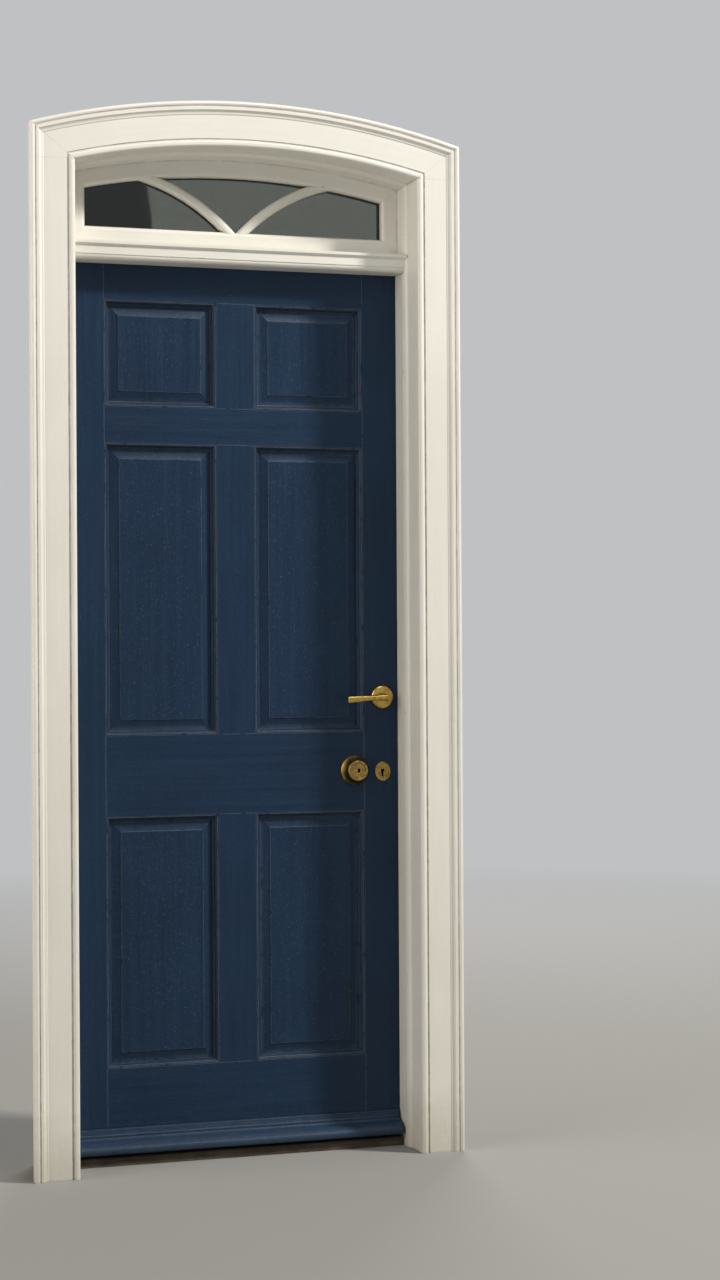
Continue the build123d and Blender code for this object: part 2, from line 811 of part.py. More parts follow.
def deadlock_case():
    case = lock_case(*dead_span)
    case = case - across(case_out - 1, leaf_half + 1, BOLT_THICK + 2 * BOLT_GAP,
                         key_z + 6 - BOLT_GAP, key_z + 30 + BOLT_GAP)
    return case - keyhole(0, case_front + 6, 4.5, 4.6)


def deadbolt():
    head = across(leaf_half - 24, leaf_half, BOLT_THICK, key_z + 6, key_z + 30)
    tail = across(case_in + 6, leaf_half - 24, 4, key_z + 8, key_z + 28)
    talon = prism_y([
        (lock_x - 7, key_z + 7), (lock_x + 7, key_z + 7), (lock_x, key_z + 16),
    ], leaf_middle - 3, leaf_middle + 3)
    return head + tail - talon


# Strikes and keep
# Plates let into the jamb, with pockets behind them, and a box keep on its room side.
def latch_strike():
    x = rebate_half
    plate = across(x, x + PLATE, STRIKE_WIDTH, lever_z - 15, lever_z + 55)
    return plate - across(x - 1, x + 5, CASE_THICK, tail_z - 11, tail_z + 9)


def deadlock_strike():
    x = rebate_half
    plate = across(x, x + PLATE, STRIKE_WIDTH, key_z - 35, key_z + 55)
    return plate - across(x - 1, x + 5, CASE_THICK, key_z + 4, key_z + 32)


def rim_keep():
    y1 = leaf_back + RIM_DEPTH
    half = rim_half - 6
    room = rim_bolt_half + 3
    block = box(keep_x, keep_x + 34, leaf_back, y1, rim_z - half, rim_z + half)
    block = block - box(keep_x - 1, keep_x + 24, rim_bolt_front - 2, rim_bolt_back + 2,
                        rim_z - room, rim_z + room)
    return fillet(block.edges().filter_by(Axis.Z).group_by(Axis.Y)[-1], 3.0)


# Rim lock
# A case on the inner face with a sliding bolt that the turn knob drives. The cylinder passes
# through the lock rail; its plug turns a tail bar that ends inside the case.
def rim_case():
    x0 = rim_back
    x1 = rim_front
    y0 = leaf_back
    y1 = leaf_back + RIM_DEPTH
    wall = RIM_WALL
    inner = rim_half - wall
    mouth = rim_bolt_half + BOLT_GAP
    shell = box(x0, x1, y0, y1, rim_z - rim_half, rim_z + rim_half)
    shell = fillet(shell.edges().filter_by(Axis.Z).group_by(Axis.Y)[-1], 3.0)
    shell = shell - box(x0 + wall, x1 - wall, y0 + wall, y1 - wall, rim_z - inner, rim_z + inner)
    shell = shell - box(x1 - wall - 2, x1 + 2, rim_bolt_front - BOLT_GAP, rim_bolt_back + BOLT_GAP,
                        rim_z - mouth, rim_z + mouth)
    shell = shell - rod_y(rim_x, rim_z, PLUG_RADIUS + 5.5, y0 - 1, y0 + wall + 2)
    return shell - rod_y(rim_x, rim_z, KNOB_RADIUS + RUN, y1 - wall - 2, y1 + 1)


def rim_bolt():
    """A square head on a flat tail that carries it behind the knob's cam."""
    half = rim_bolt_half
    head = box(rim_front - 46, rim_front, rim_bolt_front, rim_bolt_back, rim_z - half,
               rim_z + half)
    tail = box(rim_front - 94, rim_front - 46, rim_bolt_front, rim_bolt_front + 5,
               rim_z - half, rim_z + half)
    return head + tail


def rim_knob():
    y1 = leaf_back + RIM_DEPTH
    shaft = rod_y(rim_x, rim_z, KNOB_RADIUS, y1 - 8, y1 + 12)
    cam = rod_y(rim_x, rim_z, KNOB_RADIUS + 4, y1 - 8, y1 - RIM_WALL - 1)
    grip = Pos(rim_x, y1 + 19, rim_z) * Rot(90, 0, 0) * extrude(Ellipse(11, 24), 7, both=True)
    grip = fillet(grip.edges(), 2.5)
    return shaft + cam + grip


def rim_cylinder():
    body = rod_y(rim_x, rim_z, CYLINDER_RADIUS, -26, cylinder_end)
    flange = rod_y(rim_x, rim_z, CYLINDER_RADIUS + 2.5, -28, -24)
    return body + flange - rod_y(rim_x, rim_z, PLUG_RADIUS + RUN, -30, cylinder_end + 1)


def cylinder_plug():
    plug = rod_y(rim_x, rim_z, PLUG_RADIUS, -28, cylinder_end)
    bar = box(rim_x - 3, rim_x + 3, cylinder_end, leaf_back + 14, rim_z - 1, rim_z + 1)
    slot = box(rim_x - 0.8, rim_x + 0.8, -30, -6, rim_z - 4.6, rim_z + 4.6)
    return plug + bar - slot


def cylinder_collar():
    face = Plane(origin=(rim_x, 0, rim_z), x_dir=(1, 0, 0), z_dir=(0, 0, 1)) * outline([
        (0, 0), (34, 0), (34, -3), (31.5, -6), (25.5, -17, 0), (24, -27), (22.5, -29), (0, -29),
    ])
    ring = revolve(face, axis=Axis((rim_x, 0, rim_z), (0, 1, 0)))
    ring = ring - rod_y(rim_x, rim_z, CYLINDER_RADIUS + 0.5, -30, 1)
    return ring - rod_y(rim_x, rim_z, CYLINDER_RADIUS + 2.9, -30, -24)


# Escutcheon
# An oval plate with a raised rim and a small stud on top, set a little askew.
def escutcheon():
    plate = extrude(Ellipse(18.2, 21.5), 2.2)
    rim = extrude(Ellipse(18.2, 21.5) - Ellipse(15.4, 18.7), 3.6)
    stud = Pos(0, 20.4, 0) * Cylinder(2.6, 4.4, align=(Align.CENTER, Align.CENTER, Align.MIN))
    raised = plate + rim + stud
    placed = Pos(lock_x, 0, key_z - 2) * Rot(90, 0, 0) * Rot(0, 0, 9) * raised
    return placed - keyhole(-8, 1, 4.5, 4.6)


# Levers
# A round rose with the neck turning in it, and a handle that tapers away from the neck.
def rose():
    """A domed rose standing on Y = 0, facing -Y."""
    face = outline([
        (0, 0), (27, 0), (27, -2.4), (25.4, -5.6, 0), (21.5, -7.4), (20.5, -8), (0, -8),
    ])
    disc = revolve(Plane(origin=(0, 0, 0), x_dir=(1, 0, 0), z_dir=(0, 0, 1)) * face,
                   axis=Axis.Y)
    return disc - rod_y(0, 0, NECK_RADIUS + RUN, -20, 10)


def lever_section(x, y, z, deep, tall, corner):
    plane = Plane(origin=(x, y, z), x_dir=(0, 1, 0), z_dir=(-1, 0, 0))
    return plane * RectangleRounded(deep, tall, corner)


def lever_blank():
    """Handle along -X with its neck along -Y, standing on Y = 0 at the middle of the neck."""
    y = -LEVER_STAND
    neck = rod_y(0, 0, NECK_RADIUS, y, 0)
    handle = loft([
        lever_section(0, y, 0, 13, 15, 5.8),
        lever_section(-22, y - 1, -0.8, 11, 12.6, 5.0),
        lever_section(-55, y - 1, -2.6, 10.6, 13.8, 4.8),
        lever_section(-LEVER_REACH, y + 1, -5.0, 10.6, 16.0, 4.0),
    ])
    end = handle.faces().sort_by(Axis.X)[0]
    handle = fillet(end.edges(), 1.2)
    heel = Pos(0, y, 0) * Sphere(NECK_RADIUS + 0.2)
    return neck + handle + heel


def levers():
    blank = lever_blank()
    socket = box(-4, 4, 2 - LEVER_STAND, 1, -4, 4)
    blank = blank - socket
    outer = Pos(lock_x, 0, lever_z) * blank
    inner = Pos(lock_x, leaf_back, lever_z) * mirror(blank, about=Plane.XZ)
    return outer, inner


os.makedirs("parts", exist_ok=True)

left_jamb, right_jamb, arched_head = jambs_and_head()
save("left_jamb", together(left_jamb))
save("right_jamb", together(right_jamb))
save("arched_head", arched_head)
save("transom", transom(left_jamb + right_jamb))
save("threshold", threshold(left_jamb + right_jamb))

right_lining = mitred_leg(lining_section())
save("left_lining", flip(right_lining))
save("right_lining", right_lining)
save("arched_lining", mitred_arch(lining_section()))

left_casing, right_casing, arched_casing = casing_pieces()
save("left_casing", left_casing)
save("right_casing", right_casing)
save("arched_casing", arched_casing)

sash_rail, sash_left, sash_right, sash_head = sash_members()
save("sash_bottom_rail", sash_rail)
save("sash_left_stile", sash_left)
save("sash_right_stile", sash_right)
save("sash_arched_rail", sash_head)
right_bar = fan_bar(sash_rail, sash_head)
save("fan_left_bar", flip(right_bar))
save("fan_right_bar", right_bar)
save("fan_panes", panes())
save("glazing_beads", glazing_beads())

hinge_stile = stile(-1)
for height in hinge_heights:
    hinge_stile = hinge_stile - box(-leaf_half, -leaf_half + PLATE, PLATE_BACK, hinge_depth,
                                    height - HINGE_LENGTH / 2, height + HINGE_LENGTH / 2)
save("hinge_stile", hinge_stile)

lock_stile = stile(1)
lock_stile = lock_stile - lock_space(*latch_span) - lock_space(*dead_span)
lock_stile = lock_stile - rod_y(lock_x, lever_z, 9.5, -1, leaf_back + 1)
lock_stile = lock_stile - keyhole(-1, case_front + 2, 4.5, 4.6)
save("lock_stile", lock_stile)

save("top_rail", rail(top_rail_bottom, leaf_top))
save("frieze_rail", rail(frieze_bottom, frieze_top))
save("lock_rail", rail(lock_rail_bottom, lock_rail_top)
     - rod_y(rim_x, rim_z, CYLINDER_RADIUS + 1, -1, leaf_back + 1))
save("bottom_rail", rail(leaf_bottom, bottom_rail_top))

for name, (z0, z1) in zip(("low", "middle", "high"), rows()):
    save(f"{name}_muntin", muntin(z0, z1))
    save(f"{name}_left_panel", panel(-stile_in, -muntin_half, z0, z1))
    save(f"{name}_right_panel", panel(muntin_half, stile_in, z0, z1))

save("outer_mouldings", mouldings(outer_mould()))
save("inner_mouldings", mouldings(inner_mould()))
save("weatherboard", weatherboard())

frame_leaves, door_leaves, hinge_pins = hinges()
save("frame_hinge_leaves", frame_leaves)
save("door_hinge_leaves", door_leaves)
save("hinge_pins", hinge_pins)

save("latch_case", latch_case())
save("latch_bolt", latch_bolt())
save("latch_draw", latch_draw())
save("spindle", spindle())
save("deadlock_case", deadlock_case())
save("deadbolt", deadbolt())
save("latch_strike", latch_strike())
save("deadlock_strike", deadlock_strike())
save("rim_keep", rim_keep())
save("rim_case", rim_case())
save("rim_bolt", rim_bolt())
save("rim_knob", rim_knob())
save("rim_cylinder", rim_cylinder())
save("cylinder_plug", cylinder_plug())
save("cylinder_collar", cylinder_collar())
save("escutcheon", escutcheon())
outer_rose = Pos(lock_x, 0, lever_z) * rose()
save("outer_rose", outer_rose)
save("inner_rose", Pos(0, leaf_back, 0) * mirror(outer_rose, about=Plane.XZ))

outer_lever, inner_lever = levers()
save("outer_lever", outer_lever)
save("inner_lever", inner_lever)
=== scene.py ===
import json
import math

import bmesh
import bpy
from mathutils import Matrix, Vector

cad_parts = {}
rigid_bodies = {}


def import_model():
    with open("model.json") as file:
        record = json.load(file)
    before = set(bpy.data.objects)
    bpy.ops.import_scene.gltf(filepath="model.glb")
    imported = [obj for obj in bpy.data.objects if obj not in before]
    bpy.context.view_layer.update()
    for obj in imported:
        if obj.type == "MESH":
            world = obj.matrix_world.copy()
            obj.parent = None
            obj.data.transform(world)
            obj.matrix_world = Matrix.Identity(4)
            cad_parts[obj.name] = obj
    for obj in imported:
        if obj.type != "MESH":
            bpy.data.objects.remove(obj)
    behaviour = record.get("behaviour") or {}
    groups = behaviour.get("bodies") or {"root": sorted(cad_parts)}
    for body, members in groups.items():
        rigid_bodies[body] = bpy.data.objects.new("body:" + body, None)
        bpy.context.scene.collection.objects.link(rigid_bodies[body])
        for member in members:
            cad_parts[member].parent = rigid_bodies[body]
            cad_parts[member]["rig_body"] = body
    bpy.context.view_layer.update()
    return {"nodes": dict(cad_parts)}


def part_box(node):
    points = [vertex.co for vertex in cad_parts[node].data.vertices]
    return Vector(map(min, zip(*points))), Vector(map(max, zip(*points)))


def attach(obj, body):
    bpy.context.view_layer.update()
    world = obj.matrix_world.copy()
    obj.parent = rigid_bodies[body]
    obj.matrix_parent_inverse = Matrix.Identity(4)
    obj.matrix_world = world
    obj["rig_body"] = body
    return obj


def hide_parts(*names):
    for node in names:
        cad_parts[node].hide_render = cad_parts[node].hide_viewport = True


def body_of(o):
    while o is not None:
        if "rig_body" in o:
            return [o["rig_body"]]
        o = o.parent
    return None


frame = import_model()
nodes = frame["nodes"]


# Frame timber
# Softwood jambs, arched head and transom, planed, jointed and brushed with cream gloss paint.
# Their arrises are eased by sandpaper, and the brush marks run along each length of wood.
def shader_group(name, inputs, outputs):
    """A node group with named sockets, its input and output nodes ready to link."""
    group = bpy.data.node_groups.new(name, "ShaderNodeTree")
    for label, kind, value in inputs:
        socket = group.interface.new_socket(label, in_out="INPUT", socket_type="NodeSocket" + kind)
        if value is not None:
            socket.default_value = value
    for label, kind in outputs:
        group.interface.new_socket(label, in_out="OUTPUT", socket_type="NodeSocket" + kind)
    given = group.nodes.new("NodeGroupInput").outputs
    return group, given, group.nodes.new("NodeGroupOutput").inputs


def put(tree, kind, settings=(), **values):
    """Adds a node, sets its properties, and sets or links its inputs by name, or by number as
    i0, i1 and so on."""
    node = tree.nodes.new(kind)
    for key, value in dict(settings).items():
        setattr(node, key, value)
    for key, value in values.items():
        name = key.replace("_", " ")
        socket = node.inputs[int(name[1:])] if name[1:].isdigit() else node.inputs[name]
        if isinstance(value, bpy.types.NodeSocket):
            tree.links.new(value, socket)
        else:
            socket.default_value = value
    return node


def sums(tree, operation, a, b=0.0, c=0.0):
    """One Math node; its answer."""
    return put(tree, "ShaderNodeMath", {"operation": operation}, i0=a, i1=b, i2=c).outputs[0]


def spread(tree, value, low, high, to_low=0.0, to_high=1.0):
    """Stretches a value from low..high to to_low..to_high, held at both ends."""
    return put(tree, "ShaderNodeMapRange", Value=value, From_Min=low, From_Max=high,
               To_Min=to_low, To_Max=to_high).outputs[0]


def speckle(tree, place, scale, detail=2.0, roughness=0.5):
    """Noise at a number of waves to the metre."""
    return put(tree, "ShaderNodeTexNoise", Vector=place, Scale=scale, Detail=detail,
               Roughness=roughness).outputs["Fac"]


def tint(tree, share, below, above, blend="MIX"):
    """Mixes two colours by a share."""
    node = tree.nodes.new("ShaderNodeMix")
    node.data_type = "RGBA"
    node.blend_type = blend
    for socket, value in zip((node.inputs[0], node.inputs[6], node.inputs[7]),
                             (share, below, above)):
        if isinstance(value, bpy.types.NodeSocket):
            tree.links.new(value, socket)
        else:
            socket.default_value = value
    return node.outputs[2]


def srgb(r, g, b):
    """A colour written in 0 to 255 screen values, as the linear colour that a socket takes."""
    return tuple(((c / 255 + 0.055) / 1.055) ** 2.4 if c > 10 else c / 255 / 12.92
                 for c in (r, g, b)) + (1.0,)


def make_brush_marks():
    """The ridges that a brush leaves: fine hairs over broader laps."""
    group, given, result = shader_group("brush_marks", [
        ("Place", "Vector", None), ("Hairs", "Float", 900.0), ("Laps", "Float", 90.0),
    ], [("Height", "Float"), ("Streak", "Float")])
    hairs = speckle(group, given["Place"], given["Hairs"], 3.0, 0.6)
    laps = speckle(group, given["Place"], given["Laps"], 2.0)
    both = sums(group, "ADD", sums(group, "MULTIPLY", hairs, 0.45),
                sums(group, "MULTIPLY", laps, 0.55))
    group.links.new(both, result["Height"])
    group.links.new(spread(group, both, 0.35, 0.65), result["Streak"])
    return group


def make_worn_edge_and_highlight():
    """Patches along the arrises where the coat is rubbed through; on the navy paint they also
    carry a painted highlight.
    """
    group, given, result = shader_group("worn_edge_and_highlight", [
        ("Place", "Vector", None), ("Width", "Float", 0.002), ("Patches", "Float", 60.0),
        ("Start", "Float", 0.5),
    ], [("Worn", "Float")])
    soft = put(group, "ShaderNodeBevel", {"samples": 4}, Radius=given["Width"])
    here = group.nodes.new("ShaderNodeNewGeometry").outputs["True Normal"]
    turned = put(group, "ShaderNodeVectorMath", {"operation": "DOT_PRODUCT"},
                 i0=soft.outputs[0], i1=here).outputs["Value"]
    edge = spread(group, turned, 0.985, 0.85)
    patches = speckle(group, given["Place"], given["Patches"], 4.0, 0.65)
    broken = spread(group, sums(group, "SUBTRACT", patches, given["Start"]), 0.0, 0.05)
    group.links.new(sums(group, "MULTIPLY", edge, broken), result["Worn"])
    return group


def make_hollow_shade_and_dirt():
    """Painted shade and dirt in the hollows, and splashes that thin out above the ground."""
    group, given, result = shader_group("hollow_shade_and_dirt", [
        ("Place", "Vector", None), ("Reach", "Float", 0.015), ("Foot", "Float", 0.12),
    ], [("Shade_And_Dirt", "Float"), ("Splash", "Float")])
    hollow = put(group, "ShaderNodeAmbientOcclusion", {"samples": 6}, Distance=given["Reach"])
    cloud = speckle(group, given["Place"], 35.0, 5.0, 0.65)
    # The hollow mask is painted shade and dirt: it darkens the quirks and corners that ambient
    # occlusion finds.
    deep = spread(group, hollow.outputs["AO"], 0.78, 0.38)
    group.links.new(sums(group, "MULTIPLY", deep, spread(group, cloud, 0.3, 0.6)), result["Shade_And_Dirt"])
    height = put(group, "ShaderNodeSeparateXYZ", Vector=given["Place"]).outputs["Z"]
    low = sums(group, "SUBTRACT", 1.0, sums(group, "DIVIDE", height, given["Foot"]))
    low = spread(group, sums(group, "ADD", low, sums(group, "MULTIPLY", cloud, 0.8)), 0.45, 1.3)
    group.links.new(low, result["Splash"])
    return group


brush_marks = make_brush_marks()
worn_edge_and_highlight = make_worn_edge_and_highlight()
hollow_shade_and_dirt = make_hollow_shade_and_dirt()


def use(tree, group, **values):
    """Places a node group and sets or links its inputs."""
    return put(tree, "ShaderNodeGroup", {"node_tree": group}, **values).outputs


def surface(name, **fixed):
    """A material with one Principled shader; fixed values go straight on its sockets."""
    made = bpy.data.materials.new(name)
    made.use_nodes = True
    shader = made.node_tree.nodes["Principled BSDF"]
    for key, value in fixed.items():
        shader.inputs[key.replace("_", " ")].default_value = value
    place = put(made.node_tree, "ShaderNodeTexCoord").outputs["Object"]
    return made, made.node_tree, shader, place


def bump(tree, shader, height, distance):
    node = put(tree, "ShaderNodeBump", Height=height, Strength=1.0, Distance=distance)
    tree.links.new(node.outputs[0], shader.inputs["Normal"])


arch_centre = 0.601
arch_reach = 1.7
along = 0.035


def along_grain(tree, place, run):
    """Object coordinates squeezed along the wood, or bent round the centre of the arch."""
    if run == "arched":
        centred = put(tree, "ShaderNodeMapping", Vector=place,
                      Location=(0, 0, -arch_centre)).outputs[0]
        x, y, z = put(tree, "ShaderNodeSeparateXYZ", Vector=centred).outputs
        angle = sums(tree, "ARCTAN2", x, z)
        radius = put(tree, "ShaderNodeVectorMath", {"operation": "LENGTH"},
                     i0=put(tree, "ShaderNodeCombineXYZ", X=x, Z=z).outputs[0]).outputs["Value"]
        place = put(tree, "ShaderNodeCombineXYZ", X=sums(tree, "MULTIPLY", angle, arch_reach),
                    Y=y, Z=radius).outputs[0]
    squeeze = (1, 1, along) if run == "upright" else (along, 1, 1)
    return put(tree, "ShaderNodeMapping", Vector=place, Scale=squeeze).outputs[0]


def cream_paint(run):
    made, tree, shader, place = surface("cream_gloss_" + run, IOR=1.5, Coat_Weight=0.15,
                                        Coat_Roughness=0.22)
    marks = use(tree, brush_marks, Place=along_grain(tree, place, run), Hairs=700.0, Laps=110.0)
    edge = use(tree, worn_edge_and_highlight, Place=place, Width=0.0018, Patches=55.0, Start=0.60)
    shade_and_dirt = use(tree, hollow_shade_and_dirt, Place=place, Reach=0.007, Foot=0.16)
    cloud = speckle(tree, place, 4.0, 4.0)
    colour = tint(tree, spread(tree, cloud, 0.3, 0.7), srgb(233, 230, 221), srgb(224, 221, 210))
    colour = tint(tree, sums(tree, "MULTIPLY", marks["Streak"], 0.25), colour,
                  srgb(214, 210, 198))
    # Brown-grey in the quirks and hollows: painted shade together with settled dirt.
    colour = tint(tree, sums(tree, "MULTIPLY", shade_and_dirt["Shade_And_Dirt"], 0.7), colour, srgb(118, 108, 92))
    colour = tint(tree, sums(tree, "MULTIPLY", shade_and_dirt["Splash"], 0.35), colour,
                  srgb(150, 139, 120))
    chips = spread(tree, edge["Worn"], 0.35, 0.6)
    colour = tint(tree, chips, colour, srgb(138, 124, 108))
    tree.links.new(colour, shader.inputs["Base Color"])
    rough = spread(tree, cloud, 0.2, 0.8, 0.36, 0.52)
    tree.links.new(sums(tree, "ADD", rough, sums(tree, "MULTIPLY", chips, 0.3)),
                   shader.inputs["Roughness"])
    height = sums(tree, "SUBTRACT", marks["Height"], sums(tree, "MULTIPLY", chips, 0.8))
    bump(tree, shader, height, 0.00035)
    return made


cream = {run: cream_paint(run) for run in ("upright", "level", "arched")}


def sawn_softwood():
    """The faces that lie against the wall: bare sawn softwood, greyed by dust and damp."""
    made, tree, shader, place = surface("sawn_softwood", IOR=1.45)
    grain_place = put(tree, "ShaderNodeMapping", Vector=place, Scale=(1, 1, 0.04)).outputs[0]
    grain = speckle(tree, grain_place, 320.0, 5.0, 0.7)
    cloud = speckle(tree, grain_place, 30.0, 4.0, 0.6)
    colour = tint(tree, spread(tree, grain, 0.35, 0.65), srgb(140, 122, 98), srgb(172, 154, 128))
    colour = tint(tree, spread(tree, cloud, 0.35, 0.7, 0.0, 0.6), colour, srgb(138, 128, 112))
    tree.links.new(colour, shader.inputs["Base Color"])
    tree.links.new(spread(tree, grain, 0.3, 0.7, 0.65, 0.85), shader.inputs["Roughness"])
    bump(tree, shader, grain, 0.0008)
    return made


sawn = sawn_softwood()


def finished(node, paint, ease, hidden=None, shape=None, trim=None):
    """A copy of a CAD node, or a finer shape for it, with its doubles merged, its flat faces
    joined and its arrises eased. Faces that hidden(centre, normal) picks are left unpainted, and
    trim(point) moves points before the faces are joined."""
    crease = math.radians(32)
    mesh = shape or nodes[node].data.copy()
    mesh.name = node + "_finished"
    work = bmesh.new()
    work.from_mesh(mesh)
    bmesh.ops.remove_doubles(work, verts=work.verts, dist=2e-6)
    for point in work.verts if trim else ():
        trim(point.co)
    bmesh.ops.dissolve_degenerate(work, edges=work.edges, dist=1e-6)
    bmesh.ops.dissolve_limit(work, angle_limit=math.radians(0.6), verts=work.verts,
                             edges=work.edges)
    work.to_mesh(mesh)
    work.free()
    mesh.materials.clear()
    mesh.materials.append(paint)
    if hidden:
        mesh.materials.append(sawn)
        for face in mesh.polygons:
            face.material_index = int(hidden(face.center, face.normal))
    mesh.shade_smooth()
    mesh.set_sharp_from_angle(angle=crease)
    piece = bpy.data.objects.new(node + "_finished", mesh)
    bpy.context.scene.collection.objects.link(piece)
    if ease:
        rounding = piece.modifiers.new("eased", "BEVEL")
        rounding.width = ease
        rounding.segments = 2
        rounding.limit_method = "ANGLE"
        rounding.angle_limit = crease
        rounding.miter_outer = "MITER_ARC"
        flat = piece.modifiers.new("flat", "WEIGHTED_NORMAL")
        flat.keep_sharp = True
        flat.weight = 100
    bpy.context.view_layer.update()
    eased = bpy.data.meshes.new_from_object(
        piece.evaluated_get(bpy.context.evaluated_depsgraph_get()))
    piece.modifiers.clear()
    piece.data = eased
    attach(piece, body_of(nodes[node])[0])
    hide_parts(node)


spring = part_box("left_casing")[1][2]


def faces_wall(centre, normal):
    """True where a face of a jamb or lining looks away from the opening."""
    outward = Vector((centre.x, 0, max(centre.z - spring, 0)))
    return normal.dot(outward.normalized()) > 0.3


for node, run in (("left_jamb", "upright"), ("right_jamb", "upright"), ("arched_head", "arched")):
    finished(node, cream[run], 0.0010, hidden=faces_wall)
finished("transom", cream["level"], 0.0010)

# Linings
# Softwood boards that carry the painted frame forward through the wall to the casing.
# They are nailed to the jambs and painted with them.
for node, run in (("left_lining", "upright"), ("right_lining", "upright"),
                  ("arched_lining", "arched")):
    finished(node, cream[run], 0.0008, hidden=faces_wall)

# Casing
# Flat boards with a bead on the inner edge and a raised band outside, cut from wide softwood
# and painted; the arched board is mitred to a block above each straight one.
for node, run in (("left_casing", "upright"), ("right_casing", "upright"),
                  ("arched_casing", "arched")):
    finished(node, cream[run], 0.0008, hidden=lambda centre, normal: normal.y > 0.9)

# Fanlight sash and bars
# A fixed light over the transom: moulded members mitred round the glass, two curved bars that
# meet in a V, and square beads that hold the sash in its rebate from inside.
for node, run in (("sash_bottom_rail", "level"), ("sash_left_stile", "upright"),
                  ("sash_right_stile", "upright"), ("sash_arched_rail", "arched"),
                  ("fan_left_bar", "arched"), ("fan_right_bar", "arched"),
                  ("glazing_beads", "level")):
    finished(node, cream[run], 0.0006)


# Fanlight glass
# Three sheets of old drawn glass, slightly wavy and a little dusty, let into grooves of the
# sash and bars. They are tinted almost black, a painted shade for the unlit hall behind them.
def drawn_glass():
    made, tree, shader, place = surface("drawn_glass", IOR=1.5, Roughness=0.03,
                                        Specular_IOR_Level=0.15, Transmission_Weight=1.0)
    dust = spread(tree, speckle(tree, place, 260.0, 4.0, 0.7), 0.62, 0.75)
    # The near-black tint is painted shade: it stands in for the dark hall behind the fanlight.
    colour = tint(tree, sums(tree, "MULTIPLY", dust, 0.3), srgb(26, 28, 26), srgb(150, 148, 138))
    tree.links.new(colour, shader.inputs["Base Color"])
    waves = put(tree, "ShaderNodeMapping", Vector=place, Scale=(1.0, 1.0, 0.3)).outputs[0]
    bump(tree, shader, speckle(tree, waves, 18.0, 1.0), 0.0012)
    return made


finished("fan_panes", drawn_glass(), 0.0)


# Threshold
# A hardwood sill between the jambs, trodden and weathered grey-brown, with dirt in its grain.
def weathered_oak():
    made, tree, shader, place = surface("weathered_oak", IOR=1.45)
    grain_place = put(tree, "ShaderNodeMapping", Vector=place, Scale=(0.04, 1, 1)).outputs[0]
    grain = speckle(tree, grain_place, 420.0, 5.0, 0.7)
    cloud = speckle(tree, place, 22.0, 5.0, 0.6)
    edge = use(tree, worn_edge_and_highlight, Place=place, Width=0.003, Patches=40.0, Start=0.42)
    colour = tint(tree, spread(tree, grain, 0.35, 0.65), srgb(48, 40, 32), srgb(104, 92, 76))
    colour = tint(tree, spread(tree, cloud, 0.4, 0.7), colour, srgb(60, 53, 45))
    colour = tint(tree, sums(tree, "MULTIPLY", edge["Worn"], 0.6), colour, srgb(140, 127, 108))
    tree.links.new(colour, shader.inputs["Base Color"])
    tree.links.new(spread(tree, cloud, 0.2, 0.8, 0.62, 0.85), shader.inputs["Roughness"])
    bump(tree, shader, sums(tree, "ADD", grain, sums(tree, "MULTIPLY", cloud, 0.5)), 0.0009)
    return made


finished("threshold", weathered_oak(), 0.0025)


# Leaf frame
# Two stiles, four rails and three muntins, tenoned together and brushed with navy gloss over
# older coats; dust specks are caught in the paint. The pale lines on the arrises are rubbed
# paint with a painted highlight, and the hollows are darkened with painted shade.
def navy_paint(run):
    made, tree, shader, place = surface("navy_gloss_" + run, IOR=1.5, Specular_IOR_Level=0.22)
    marks = use(tree, brush_marks, Place=along_grain(tree, place, run), Hairs=650.0, Laps=75.0)
    edge = use(tree, worn_edge_and_highlight, Place=place, Width=0.0018, Patches=45.0, Start=0.38)
    shade_and_dirt = use(tree, hollow_shade_and_dirt, Place=place, Reach=0.006, Foot=0.10)
    cloud = speckle(tree, place, 5.0, 4.0)
    colour = tint(tree, spread(tree, cloud, 0.3, 0.7), srgb(16, 37, 60), srgb(22, 45, 69))
    colour = tint(tree, sums(tree, "MULTIPLY", marks["Streak"], 0.35), colour, srgb(34, 58, 83))
    dust = speckle(tree, place, 480.0, 1.0)
    dust = sums(tree, "ADD", dust, sums(tree, "MULTIPLY", shade_and_dirt["Splash"], 0.05))
    dust = spread(tree, dust, 0.72, 0.735)
    colour = tint(tree, sums(tree, "MULTIPLY", dust, 0.6), colour, srgb(130, 138, 150))
    # Blue-grey on the arrises: rubbed paint together with a painted highlight on the edges.
    colour = tint(tree, sums(tree, "MULTIPLY", edge["Worn"], 0.8), colour, srgb(116, 127, 140))
    # Near-black painted shade in the quirks and hollows, where the mouldings throw their shadow.
    colour = tint(tree, sums(tree, "MULTIPLY", shade_and_dirt["Shade_And_Dirt"], 0.95), colour, srgb(7, 9, 14))
    colour = tint(tree, sums(tree, "MULTIPLY", shade_and_dirt["Splash"], 0.25), colour, srgb(84, 96, 110))
    tree.links.new(colour, shader.inputs["Base Color"])
    tree.links.new(spread(tree, marks["Streak"], 0.0, 1.0, 0.28, 0.42),
                   shader.inputs["Roughness"])
    height = sums(tree, "ADD", marks["Height"], sums(tree, "MULTIPLY", dust, 0.5))
    bump(tree, shader, height, 0.0012)
    return made


navy = {run: navy_paint(run) for run in ("upright", "level")}

for node in ("hinge_stile", "lock_stile", "low_muntin", "middle_muntin", "high_muntin"):
    finished(node, navy["upright"], 0.0005)
for node in ("top_rail", "frieze_rail", "lock_rail", "bottom_rail"):
    finished(node, navy["level"], 0.0005)

# Panels and their mouldings
# Raised and fielded softwood panels held loose in grooves, with mitred sticks pinned round
# them on both sides of the leaf: a quirk, a fillet and an ovolo outside, a plain bead inside.
for row in ("low", "middle", "high"):
    for side in ("left", "right"):
        finished(f"{row}_{side}_panel", navy["upright"], 0.0009)

